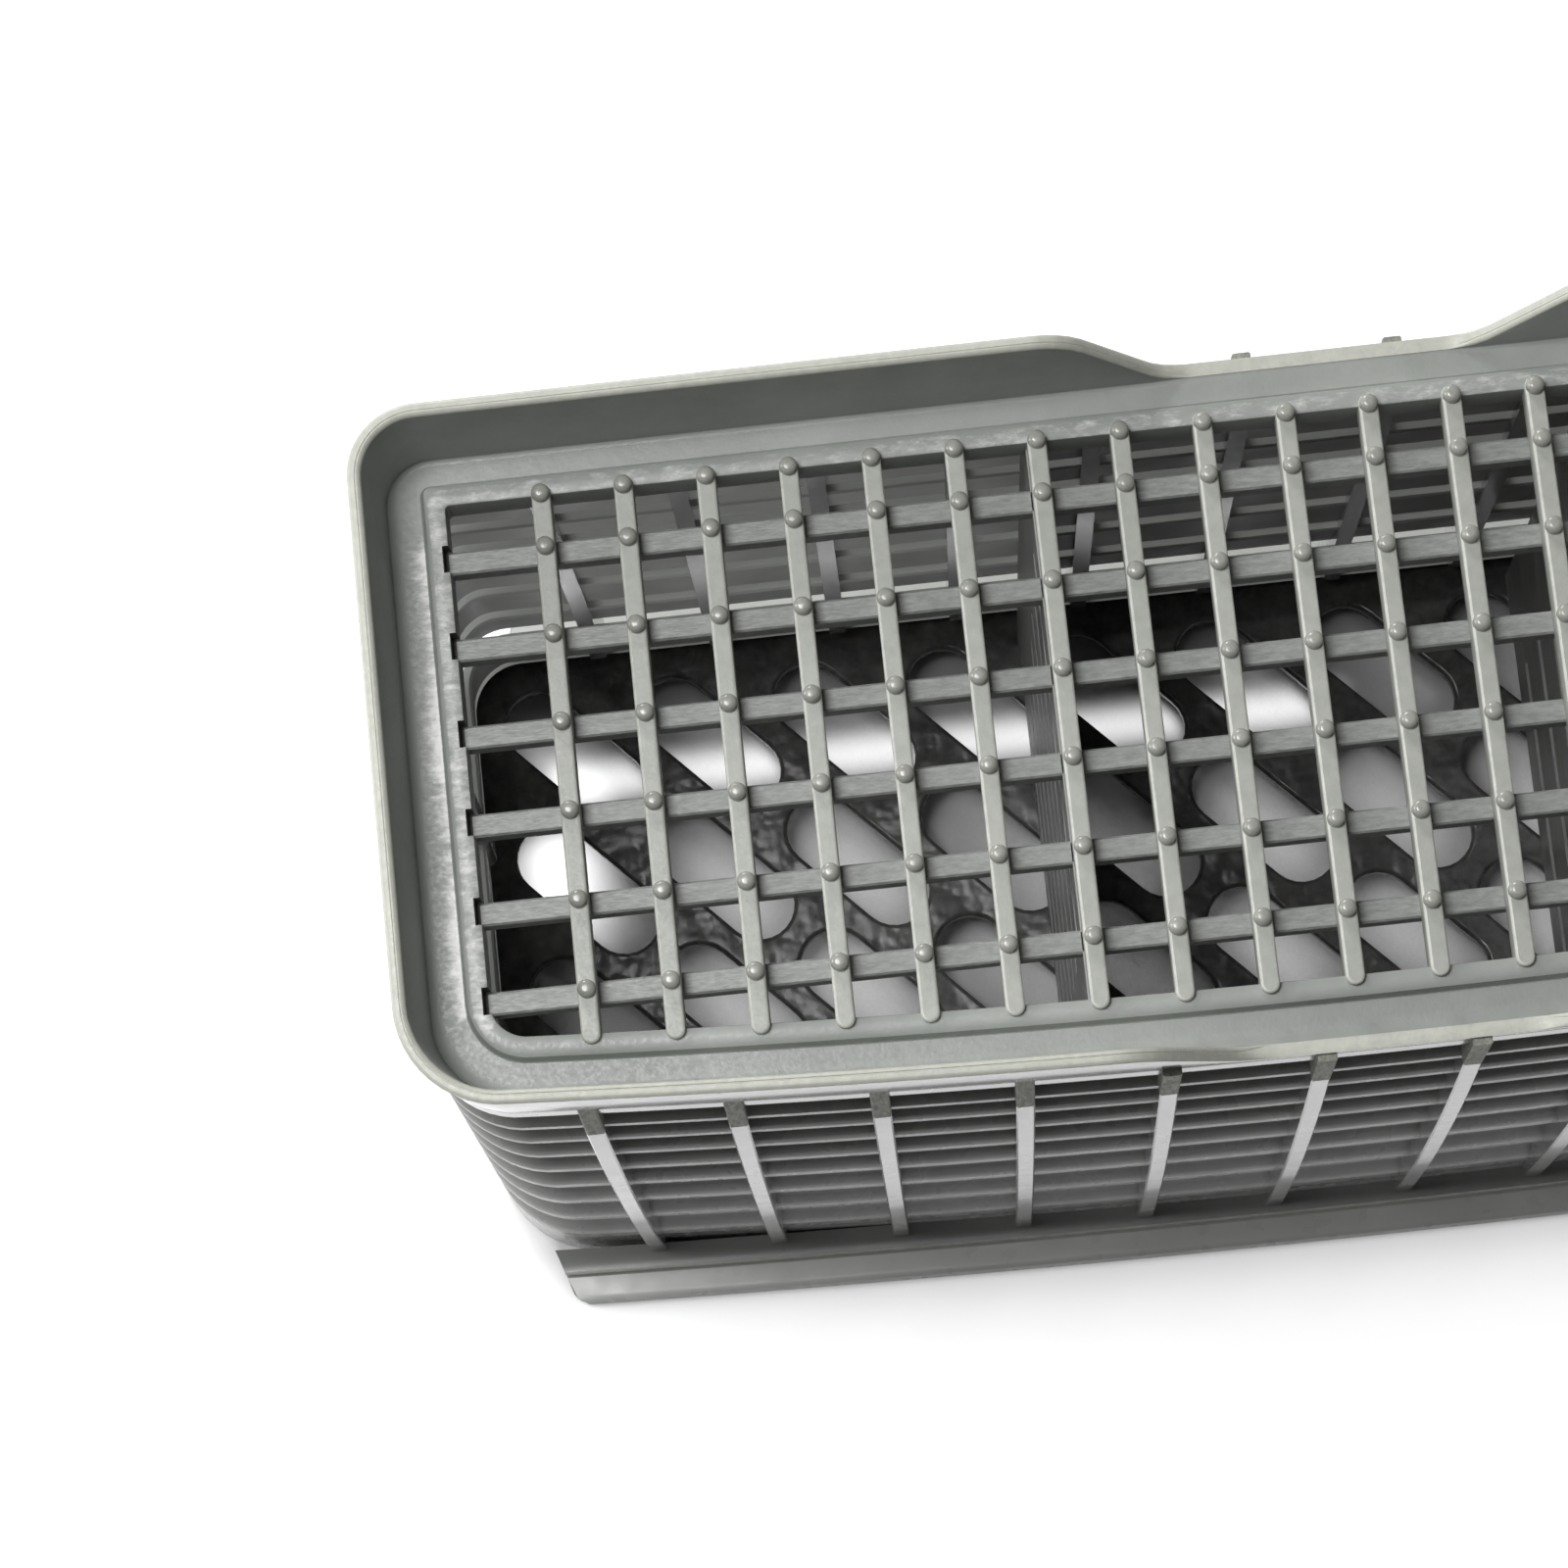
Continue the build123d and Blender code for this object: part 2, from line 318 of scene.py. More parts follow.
def outline_point(shape, grow, run, share):
    """The point at a station of a plan outline that is moved outwards by grow."""
    half, back, front, round_back, round_front = (size + grow for size in shape)
    bow = BOW_RADIUS + grow
    front_x = half - round_front
    front_y = front_edge(front_x, front, bow) + round_front
    back_x = half - round_back
    back_y = back - round_back
    corners = {
        "front right corner": (front_x, front_y, round_front, -90),
        "back right corner": (back_x, back_y, round_back, 0),
        "back left corner": (-back_x, back_y, round_back, 90),
        "front left corner": (-front_x, front_y, round_front, 180),
    }
    if run in corners:
        x, y, radius, start = corners[run]
        turn = math.radians(start + 90 * share)
        return x + radius * math.cos(turn), y + radius * math.sin(turn)
    if run == "right":
        return half, blend(front_y, back_y, share)
    if run == "back":
        return blend(back_x, -back_x, share), back
    if run == "left":
        return -half, blend(back_y, front_y, share)
    x = blend(-front_x, front_x, share)
    return x, front_edge(x, front, bow)


def paint_wear_and_highlight(mesh, wear_and_highlight_at):
    """Gives a mesh its wear_and_highlight values: scraping on the frame, a painted highlight on the
    louvres. wear_and_highlight_at(x, y, z) says how far a point is covered, from 0 to 1.
    """
    wear_and_highlight = mesh.attributes.new("wear_and_highlight", "FLOAT", "POINT")
    wear_and_highlight.data.foreach_set("value", [wear_and_highlight_at(*(vertex.co / MM)) for vertex in mesh.vertices])


def quarter_round(radius, steps):
    """Steps of a rounded edge from side to top, as (in, down) from the corner that it takes off."""
    turns = [math.radians(90 * k / steps) for k in range(steps + 1)]
    return [(radius * (1 - math.cos(turn)), radius * (1 - math.sin(turn))) for turn in turns]


# Mesh building
class Shape:
    """Points in millimetres and faces, each face with the number of its finish."""

    def __init__(self):
        self.points = []
        self.faces = []
        self.finishes = []

    def face(self, corners, finish=0):
        """Adds a face by its points' numbers."""
        self.faces.append(tuple(corners))
        self.finishes.append(finish)

    def stack(self, rows, bands=None, columns=None):
        """Adds a closed body of equal rows of points, with a finish for each band or each column."""
        bands = bands or [0] * (len(rows) - 1)
        start = len(self.points)
        count = len(rows[0])
        for row in rows:
            self.points += row
        for i, finish in enumerate(bands):
            low = start + i * count
            for k in range(count):
                m = (k + 1) % count
                corners = (low + k, low + m, low + count + m, low + count + k)
                self.face(corners, columns[k] if columns else finish)
        self.face(range(start, start + count), bands[0])
        self.face(range(len(self.points) - count, len(self.points)), bands[-1])

    def block(self, low, high):
        """Adds a box between two corners."""
        plan = [(low[0], low[1]), (high[0], low[1]), (high[0], high[1]), (low[0], high[1])]
        self.stack([[(*point, z) for point in plan] for z in (low[2], high[2])])

    def sweep(self, section, columns=None):
        """Adds a section swept once round the walls, with a finish for each column.

        section(x) lists the points of the section at x as (outline, grow, z).
        """
        start = len(self.points)
        for run, share in STATIONS:
            station = section(outline_point(WALL, 0, run, share)[0])
            self.points += [(*outline_point(shape, grow, run, share), z) for shape, grow, z in station]
        count = len(station)
        for i in range(len(STATIONS)):
            low = start + i * count
            high = start + (i + 1) % len(STATIONS) * count
            for k in range(count):
                m = (k + 1) % count
                self.face((low + k, high + k, high + m, low + m), columns[k] if columns else 0)

    def make(self, name, finishes, sharp):
        """Turns the shape into a shaded mesh object with its finishes."""
        mesh = bpy.data.meshes.new(name)
        mesh.from_pydata([(x * MM, y * MM, z * MM) for x, y, z in self.points], [], self.faces)
        mesh.polygons.foreach_set("material_index", self.finishes)
        for finish in finishes:
            mesh.materials.append(finish)
        return add_object(name, mesh, sharp)


def columns_of(parts, finishes):
    """The finish of every column of a section that is made of parts, with one finish for each part."""
    return [finish for part, finish in zip(parts, finishes) for _ in part]


def add_object(name, mesh, sharp):
    """Links a mesh with outward normals and smooth shading up to the angle sharp."""
    work = bmesh.new()
    work.from_mesh(mesh)
    bmesh.ops.recalc_face_normals(work, faces=work.faces)
    work.to_mesh(mesh)
    work.free()
    mesh.polygons.foreach_set("use_smooth", [True] * len(mesh.polygons))
    mesh.set_sharp_from_angle(angle=math.radians(sharp))
    piece = bpy.data.objects.new(name, mesh)
    bpy.context.scene.collection.objects.link(piece)
    return piece


# Finishes
def make_finish(
    name, dark, light, roughness, patch, grain, relief,
    stretch=(1, 1, 1), detail=3, wear_and_highlight_tone=None, grit=0, coat=0,
):
    """A moulded finish: patches run from a dark to a light tone, and a finer grain stands out by relief."""
    material = bpy.data.materials.new(name)
    material.use_nodes = True
    nodes = material.node_tree.nodes
    links = material.node_tree.links
    shader = nodes["Principled BSDF"]
    shader.inputs["Coat Weight"].default_value = coat
    shader.inputs["Coat Roughness"].default_value = COAT_ROUGHNESS
    place = nodes.new("ShaderNodeTexCoord")
    spread = nodes.new("ShaderNodeMapping")
    spread.inputs["Scale"].default_value = [1 / length for length in stretch]
    patches = nodes.new("ShaderNodeTexNoise")
    patches.inputs["Scale"].default_value = 1 / (patch * MM)
    patches.inputs["Detail"].default_value = PATCH_DETAIL
    patches.inputs["Roughness"].default_value = PATCH_ROUGHNESS
    grains = nodes.new("ShaderNodeTexNoise")
    grains.inputs["Scale"].default_value = 1 / (grain * MM)
    grains.inputs["Detail"].default_value = detail
    tone = nodes.new("ShaderNodeValToRGB")
    low, high = tone.color_ramp.elements
    low.position = NOISE_LOW
    low.color = (*dark, 1)
    high.position = NOISE_HIGH
    high.color = (*light, 1)
    gloss = nodes.new("ShaderNodeMapRange")
    gloss.inputs["From Min"].default_value = NOISE_LOW
    gloss.inputs["From Max"].default_value = NOISE_HIGH
    gloss.inputs["To Min"].default_value = roughness * (1 - GLOSS_SPREAD)
    gloss.inputs["To Max"].default_value = roughness * (1 + GLOSS_SPREAD)
    bump = nodes.new("ShaderNodeBump")
    bump.inputs["Distance"].default_value = relief * MM
    links.new(place.outputs["Object"], spread.inputs["Vector"])
    links.new(spread.outputs["Vector"], patches.inputs["Vector"])
    links.new(spread.outputs["Vector"], grains.inputs["Vector"])
    links.new(patches.outputs["Fac"], tone.inputs["Fac"])
    links.new(tone.outputs["Color"], shader.inputs["Base Color"])
    links.new(grains.outputs["Fac"], gloss.inputs["Value"])
    links.new(gloss.outputs["Result"], shader.inputs["Roughness"])
    links.new(grains.outputs["Fac"], bump.inputs["Height"])
    links.new(bump.outputs["Normal"], shader.inputs["Normal"])
    if wear_and_highlight_tone:
        add_wear_and_highlight(material, place, tone, wear_and_highlight_tone, grit)
    return material


def add_wear_and_highlight(material, place, tone, wear_and_highlight_tone, grit):
    """Lays a second tone over a finish as far as the mesh's wear_and_highlight values say, broken into
    flakes by grit: scraping on the frame, a painted highlight on the louvre lips.
    """
    nodes = material.node_tree.nodes
    links = material.node_tree.links
    wear_and_highlight = nodes.new("ShaderNodeAttribute")
    wear_and_highlight.attribute_name = "wear_and_highlight"
    spread = nodes.new("ShaderNodeMapping")
    spread.inputs["Rotation"].default_value = (0, 0, math.radians(FLAKE_LEAN))
    spread.inputs["Scale"].default_value = (1 / FLAKE_STRETCH, 1, 1)
    flakes = nodes.new("ShaderNodeTexNoise")
    flakes.inputs["Scale"].default_value = 1 / (FLAKE_SIZE * MM)
    flakes.inputs["Detail"].default_value = FLAKE_DETAIL
    flakes.inputs["Roughness"].default_value = FLAKE_ROUGHNESS
    centred = nodes.new("ShaderNodeMath")
    centred.operation = "SUBTRACT"
    centred.inputs[1].default_value = NOISE_MIDDLE
    amount = nodes.new("ShaderNodeMath")
    amount.operation = "MULTIPLY_ADD"
    amount.inputs[1].default_value = grit
    cover = nodes.new("ShaderNodeMapRange")
    cover.interpolation_type = "SMOOTHSTEP"
    cover.inputs["From Min"].default_value = COVER_START
    cover.inputs["From Max"].default_value = COVER_FULL
    mix = nodes.new("ShaderNodeMix")
    mix.data_type = "RGBA"
    mix.inputs["B"].default_value = (*wear_and_highlight_tone, 1)
    links.new(place.outputs["Object"], spread.inputs["Vector"])
    links.new(spread.outputs["Vector"], flakes.inputs["Vector"])
    links.new(flakes.outputs["Fac"], centred.inputs[0])
    links.new(centred.outputs[0], amount.inputs[0])
    links.new(wear_and_highlight.outputs["Fac"], amount.inputs[2])
    links.new(amount.outputs[0], cover.inputs["Value"])
    links.new(cover.outputs["Result"], mix.inputs["Factor"])
    links.new(tone.outputs["Color"], mix.inputs["A"])
    links.new(mix.outputs["Result"], nodes["Principled BSDF"].inputs["Base Color"])


SCUFF = (0.78, 0.78, 0.76)
# Lighter tone laid along the louvre lips as a painted highlight
LIP_HIGHLIGHT_TONE = (0.4, 0.405, 0.385)
satin = make_finish(
    "satin", dark=(0.25, 0.265, 0.247), light=(0.31, 0.325, 0.305),
    roughness=0.4, patch=14, grain=0.5, relief=0.02, wear_and_highlight_tone=SCUFF, grit=1.3,
)
louvre_face = make_finish(
    "louvre_face", dark=(0.23, 0.237, 0.225), light=(0.28, 0.287, 0.273),
    roughness=0.3, patch=18, grain=3, relief=0.004, wear_and_highlight_tone=LIP_HIGHLIGHT_TONE, grit=0.2, detail=1,
)
# Inner faces of the louvres: the plastic given a lighter tone, painted light in their shade
lightened_inner_face = make_finish(
    "lightened_inner_face", dark=(0.34, 0.35, 0.335), light=(0.37, 0.38, 0.365),
    roughness=0.4, patch=40, grain=8, relief=0.002, detail=1,
)
cross_face = make_finish(
    "cross_face", dark=(0.22, 0.225, 0.215), light=(0.34, 0.345, 0.33),
    roughness=0.4, patch=1.2, grain=0.6, relief=0.01, stretch=(6, 6, 1),
)
# Darker tone on the flange's step and hollow: painted shade
step_shade = make_finish(
    "step_shade", dark=(0.2, 0.207, 0.196), light=(0.25, 0.257, 0.245),
    roughness=0.34, patch=14, grain=0.6, relief=0.01,
)
# Collar tone lightened above the walls': painted light in the shade under the lowest louvre
lightened_collar_face = make_finish(
    "lightened_collar_face", dark=(0.33, 0.34, 0.325), light=(0.38, 0.39, 0.372),
    roughness=0.25, patch=14, grain=3, relief=0.006, detail=1, coat=0.6,
)
# Flange tone lightened above the plastic's own: painted light where the basket shades it
lightened_flange_face = make_finish(
    "lightened_flange_face", dark=(0.41, 0.42, 0.4), light=(0.46, 0.47, 0.45),
    roughness=0.32, patch=14, grain=3, relief=0.006, detail=1,
)
gloss_face = make_finish(
    "gloss_face", dark=(0.34, 0.345, 0.335), light=(0.39, 0.395, 0.385),
    roughness=0.2, patch=9, grain=3, relief=0.004, detail=1, coat=0.6,
)
bar_face = make_finish(
    "bar_face", dark=(0.31, 0.32, 0.29), light=(0.37, 0.38, 0.345),
    roughness=0.4, patch=2, grain=0.35, relief=0.015,
)
# Lighter tone on the rounded edges of the bars and the flange step: a painted highlight
highlight_edge = make_finish(
    "highlight_edge", dark=(0.4, 0.41, 0.375), light=(0.54, 0.55, 0.5),
    roughness=0.36, patch=2, grain=0.3, relief=0.01,
)
brushed = make_finish(
    "brushed", dark=(0.17, 0.18, 0.17), light=(0.31, 0.32, 0.305),
    roughness=0.42, patch=0.45, grain=0.25, relief=0.03, stretch=(4, 1, 1),
)
stud_face = make_finish(
    "stud_face", dark=(0.27, 0.275, 0.25), light=(0.35, 0.355, 0.32),
    roughness=0.22, patch=1.5, grain=0.6, relief=0.015,
)
cream_edge = make_finish(
    "cream_edge", dark=(0.43, 0.44, 0.39), light=(0.53, 0.53, 0.465),
    roughness=0.42, patch=0.8, grain=0.3, relief=0.03, stretch=(1.6, 1.6, 1),
)
rough_head = make_finish(
    "rough_head", dark=(0.14, 0.145, 0.125), light=(0.36, 0.36, 0.3),
    roughness=0.6, patch=0.6, grain=0.4, relief=0.08, stretch=(1, 1, 4),
)
# Near-black tone for the pockets' cut faces: painted shade in the pockets
pocket = make_finish(
    "pocket", dark=(0.05, 0.05, 0.047), light=(0.11, 0.11, 0.1),
    roughness=0.6, patch=0.6, grain=0.3, relief=0.02,
)
flow_gloss = make_finish(
    "flow_gloss", dark=(0.04, 0.041, 0.039), light=(0.12, 0.122, 0.116),
    roughness=0.24, patch=4, grain=5, relief=0.5, detail=2,
)
flow_gloss.node_tree.nodes["Principled BSDF"].inputs["Specular IOR Level"].default_value = FLOW_SPECULAR


# Pieces of the drain grid
def bar_plan(x, low, high, inset):
    """The plan of a cross bar: straight sides and half-round ends, moved in by inset."""
    radius = BAR_WIDTH / 2 - inset
    plan = []
    for y, start in ((high - BAR_WIDTH / 2, 0), (low + BAR_WIDTH / 2, 180)):
        for k in range(BAR_TURN_STEPS + 1):
            turn = math.radians(start + 180 * k / BAR_TURN_STEPS)
            plan.append((x + radius * math.cos(turn), y + radius * math.sin(turn)))
    return plan


def make_bars():
    """Cross bars with half-round ends, and rounded top edges that catch the light and carry a painted
    highlight.
    """
    shape = Shape()
    levels = [(0, BAR_BOTTOM)]
    levels += [(inset, BAR_TOP - drop) for inset, drop in quarter_round(BAR_EDGE, EDGE_STEPS)]
    levels.append((BAR_EDGE + BAR_EDGE_BAND, BAR_TOP))
    bands = [0] + [1] * EDGE_STEPS + [0]
    for x in BAR_PLACES:
        front = front_edge(x, OPENING_FRONT, BOW_RADIUS) - BAR_LAP
        back = OPENING_BACK + BAR_LAP
        rows = [[(*point, z) for point in bar_plan(x, front, back, inset)] for inset, z in levels]
        shape.stack(rows, bands)
    return shape.make("grid_bars", [bar_face, highlight_edge], sharp=50)


def make_rails():
    """Long rails under the bars."""
    shape = Shape()
    half = OPENING_LENGTH / 2 + RAIL_LAP
    side = RAIL_WIDTH / 2
    section = [
        (-side, RAIL_BOTTOM),
        (side, RAIL_BOTTOM),
        (side, BAR_BOTTOM - RAIL_EDGE),
        (side - RAIL_EDGE, BAR_BOTTOM),
        (RAIL_EDGE - side, BAR_BOTTOM),
        (-side, BAR_BOTTOM - RAIL_EDGE),
    ]
    for y in RAIL_PLACES:
        shape.stack([[(x, y + across, z) for across, z in section] for x in (half, -half)])
    return shape.make("grid_rails", [brushed], sharp=30)


def make_studs():
    """Small round-topped studs over every crossing and along the back border."""
    shape = Shape()
    turns = [2 * math.pi * k / STUD_TURN_STEPS for k in range(STUD_TURN_STEPS)]
    dome = quarter_round(STUD_DOME, STUD_DOME_STEPS)
    profile = [(STUD_RADIUS, -STUD_SINK), (STUD_RADIUS, 0)]
    profile += [(STUD_RADIUS - inset, STUD_HEIGHT - drop) for inset, drop in dome]
    for y in RAIL_PLACES + [OPENING_BACK]:
        for x in BAR_PLACES:
            rows = []
            for radius, rise in profile:
                ring = [(x + radius * math.cos(turn), y + radius * math.sin(turn)) for turn in turns]
                rows.append([(*point, BAR_TOP + rise) for point in ring])
            shape.stack(rows)
    return shape.make("grid_studs", [stud_face], sharp=60)


# Pieces of the frame and the walls
def skirt_height(x):
    """Height of the skirt over the ledge at x: full towards the ends, and nothing in the middle."""
    x = abs(x)
    top, bottom = DIP_TOP / 2, DIP_BOTTOM / 2
    slope = math.atan2(SKIRT_HEIGHT, top - bottom)
    tangent = DIP_ROUND * math.tan(slope / 2)
    if x >= top + tangent:
        return SKIRT_HEIGHT
    if x <= bottom - tangent:
        return 0.0
    if x > top - tangent * math.cos(slope):
        return SKIRT_HEIGHT - DIP_ROUND + math.sqrt(DIP_ROUND**2 - (top + tangent - x) ** 2)
    if x < bottom + tangent * math.cos(slope):
        return DIP_ROUND - math.sqrt(DIP_ROUND**2 - (x - bottom + tangent) ** 2)
    return (x - bottom) / (top - bottom) * SKIRT_HEIGHT


def frame_parts(x):
    """The frame's section at x in parts: border and ledge, skirt's edge, its outer side, underside."""
    height = max(skirt_height(x), SKIRT_LOWEST)
    top = LEDGE_TOP + height
    edge = min(SKIRT_EDGE, height * SKIRT_ROUND_SHARE)
    fillet = min(SKIRT_FILLET, height * SKIRT_ROUND_SHARE)
    groove = min(SKIRT_GROOVE, height * SKIRT_GROOVE_SHARE)
    inner = height * FLARE - SKIRT_SET_IN
    outer = inner + SKIRT_THICKNESS
    under = SKIRT_THICKNESS - SKIRT_SET_IN - LEDGE_THICKNESS * FLARE
    round_edge = quarter_round(edge, EDGE_STEPS)[1:]
    fillet_in, fillet_up = quarter_round(fillet, SMALL_EDGE_STEPS)[1]
    round_border = quarter_round(BORDER_ROUND, SMALL_EDGE_STEPS)
    border = [(OPENING, 0, BORDER_TOP - BORDER_DEPTH)]
    border += [(OPENING, back, BORDER_TOP - drop) for back, drop in round_border]
    border += [
        (OPENING, BORDER_FLAT, BORDER_TOP - BORDER_CROWN),
        (BORDER, BORDER_FLAT + BORDER_SHOULDER - BORDER_WIDTH, BORDER_TOP - BORDER_ROUND),
        (BORDER, -BORDER_FOOT - FOOT_GROOVE, LEDGE_TOP + FOOT_RISE),
        (BORDER, -BORDER_FOOT, LEDGE_TOP - FOOT_GROOVE_DEPTH),
        (BORDER, -BORDER_FOOT + FOOT_GROOVE, LEDGE_TOP),
        (BORDER, SCRAPED_WIDTH, LEDGE_TOP),
        (WALL, -SKIRT_SET_IN - fillet, LEDGE_TOP),
        (WALL, -SKIRT_SET_IN - fillet_in, LEDGE_TOP + fillet_up),
        (WALL, fillet * FLARE - SKIRT_SET_IN, LEDGE_TOP + fillet),
    ]
    groove_start = inner + edge
    groove_end = groove_start + SKIRT_GROOVE_WIDTH
    lip = [(WALL, inner - edge * FLARE, top - edge)]
    lip += [(WALL, inner + back, top - drop) for back, drop in round_edge]
    lip += [
        (WALL, groove_start + SKIRT_GROOVE_SIDE, top - groove),
        (WALL, groove_end - SKIRT_GROOVE_SIDE, top - groove),
        (WALL, groove_end, top),
    ]
    lip += [(WALL, outer - back, top - drop) for back, drop in reversed(round_edge)]
    side = [(WALL, outer - edge * FLARE, top - edge)]
    underside = [
        (WALL, under, LEDGE_BOTTOM),
        (WALL, under - LEDGE_EDGE, LEDGE_BOTTOM - LEDGE_LAP),
        (WALL, -RIM_THICKNESS, LEDGE_BOTTOM - LEDGE_LAP),
    ]
    return border, lip, side, underside


def frame_wear(x, y, z):
    """How far a point of the frame is scraped: most on the left ledge by the border, less on the border."""
    if z > BORDER_TOP + NEAR or z < LEDGE_TOP - FOOT_GROOVE_DEPTH - NEAR:
        return 0.0
    past = -x - OPENING_LENGTH / 2 - BORDER_WIDTH + BORDER_FOOT
    if past > 0:
        along = min(max((OPENING_BACK - y) / WEAR_FADE, 0), max((y + OPENING_FRONT) / WEAR_FADE, 0), 1)
        patchy = 1 - WEAR_PATCHY + WEAR_PATCHY * math.sin(y / WEAR_WAVE)
        return WEAR_LEDGE * along * patchy * max(1 - past / WEAR_REACH, 0)
    if z > BORDER_TOP - NEAR and past > -BORDER_WIDTH:
        return WEAR_BORDER_END
    if z > BORDER_TOP - NEAR and y > OPENING_BACK:
        return WEAR_BORDER
    return 0.0


def make_frame():
    """Raised border, ledge and dipped skirt, with a pocket in the border at both ends of every rail, its
    faces near black as painted shade.
    """
    shape = Shape()
    shape.sweep(lambda x: sum(frame_parts(x), []), columns_of(frame_parts(0), (0, 1, 2, 0)))
    whole = shape.make("frame_whole", [satin, cream_edge, gloss_face], sharp=35)
    cuts = Shape()
    inner = OPENING_LENGTH / 2 - NOTCH_OVERLAP
    outer = OPENING_LENGTH / 2 + NOTCH_RUN
    pocket_floor = BAR_BOTTOM - NOTCH_SINK
    top = BORDER_TOP + NOTCH_CLEAR
    for y in RAIL_PLACES:
        low = y - NOTCH_WIDTH / 2
        high = y + NOTCH_WIDTH / 2
        cuts.block((-outer, low, pocket_floor), (-inner, high, top))
        cuts.block((inner, low, pocket_floor), (outer, high, top))
    cutter = cuts.make("frame_cuts", [pocket], sharp=30)
    pockets = whole.modifiers.new("pockets", "BOOLEAN")
    pockets.object = cutter
    pockets.material_mode = "TRANSFER"
    mesh = bpy.data.meshes.new_from_object(whole.evaluated_get(bpy.context.evaluated_depsgraph_get()))
    bpy.data.objects.remove(whole)
    bpy.data.objects.remove(cutter)
    paint_wear_and_highlight(mesh, frame_wear)
    return add_object("grid_frame", mesh, sharp=35)


def make_rim():
    """The plain band of wall under the skirt."""
    low = reach(RIM_BOTTOM)
    section = [
        (WALL, reach(LEDGE_BOTTOM), LEDGE_BOTTOM),
        (WALL, reach(LEDGE_BOTTOM) - RIM_THICKNESS, LEDGE_BOTTOM),
        (WALL, low - RIM_THICKNESS, RIM_BOTTOM),
    ]
    lip = reversed(quarter_round(LIP_EDGE, SMALL_EDGE_STEPS))
    section += [(WALL, low - back, RIM_BOTTOM + rise) for back, rise in lip]
    section.append((WALL, reach(RIM_BOTTOM + 2 * LIP_EDGE), RIM_BOTTOM + 2 * LIP_EDGE))
    shape = Shape()
    shape.sweep(lambda x: section)
    return shape.make("rim_band", [gloss_face], sharp=35)


def louvre_parts(lip, top, inside):
    """A louvre's section in parts: top with a plain inner face, and lip with a shelf and a set-in face."""
    back = reach(top) - LOUVRE_LEAN - LOUVRE_THICKNESS
    inner = [
        (WALL, reach(top) - LOUVRE_LEAN, top),
        (WALL, back + LOUVRE_EDGE, top),
        (WALL, back, top - LOUVRE_EDGE),
        (WALL, reach(lip) - inside, lip + LOUVRE_EDGE),
    ]
    outer = [(WALL, reach(lip) - inside + LOUVRE_EDGE, lip)]
    outer += [(WALL, reach(lip) - inset, lip + rise) for rise, inset in quarter_round(LIP_EDGE, EDGE_STEPS)]
    for k in range(1, LOUVRE_STEPS):
        share = k / LOUVRE_STEPS
        z = blend(lip + LIP_EDGE, top, share)
        step = min(max((share - LIP_UPRIGHT) / LIP_SHELF, 0), 1)
        outer.append((WALL, reach(z) - LOUVRE_LEAN * ease(step), z))
    return inner, outer


def louvre_lip_highlight(x, y, z):
    """How far a point of a louvre is lightened by the painted highlight: most along the lip."""
    lip, above = next((low, high) for low, high in zip(LIPS, [RIM_BOTTOM] + LIPS) if z > low - NEAR)
    return max(1 - (z - lip) / (above - lip) / LIP_HIGHLIGHT_SHARE, 0)


def make_louvres():
    """Louvre rings that lean out towards the mouth, with a painted highlight along each lip."""
    shape = Shape()
    for number, (lip, above) in enumerate(zip(LIPS, [RIM_BOTTOM] + LIPS)):
        inside = LIP_INSIDE_OPEN if number == OPEN_LOUVRE else LIP_INSIDE
        parts = louvre_parts(lip, above - LOUVRE_GAP, inside)
        shape.sweep(lambda x: sum(parts, []), columns_of(parts, (1, 0)))
    louvres = shape.make("louvres", [louvre_face, lightened_inner_face], sharp=35)
    # The louvre faces get a painted highlight, strongest at each lip
    paint_wear_and_highlight(louvres.data, louvre_lip_highlight)
    return louvres


def make_collar():
    """Plain collar at the mouth with a rebate for the separator, in a lightened tone that is painted light.
    """
    top = LIPS[-1] - LOUVRE_GAP
    high = reach(top) - COLLAR_LEAN
    inner = MOUTH_REACH - COLLAR_THICKNESS
    section = [
        (WALL, high, top),
        (WALL, high - COLLAR_THICKNESS, top),
        (WALL, inner, PLATE_TOP),
        (WALL, inner + REBATE_WIDTH, PLATE_TOP),
        (WALL, inner + REBATE_WIDTH, 0),
        (WALL, MOUTH_REACH, 0),
    ]
    shape = Shape()
    shape.sweep(lambda x: section)
    return shape.make("collar", [lightened_collar_face], sharp=35)


def rib_rows(place, head_stand, bow):
    """Rows of a rib from head to foot, each point as (along, out from the wall line at the ledge, z)."""
    top = LEDGE_TOP - RIB_HEAD
    shoulder = top - RIB_TAPER
    foot = FLANGE_THICKNESS + RIB_TIP
    levels = [(top, head_stand)]
    for k in range(RIB_STEPS + 1):
        share = k / RIB_STEPS
        levels.append((blend(shoulder, foot, share), RIB_STAND + bow * 4 * share * (1 - share)))
    levels.append((FLANGE_THICKNESS, RIB_FOOT_STAND))
    half = RIB_WIDTH / 2
    rows = []
    for z, stand in levels:
        out = reach(z) + stand
        inside = reach(z) - (RIB_INSIDE if z > COLLAR_HEIGHT else RIB_DEPTH)
        rows.append([
            (place - half, inside, z),
            (place + half, inside, z),
            (place + half, out - RIB_EDGE, z),
            (place + half - RIB_EDGE, out, z),
            (place - half + RIB_EDGE, out, z),
            (place - half, out - RIB_EDGE, z),
        ])
    return rows


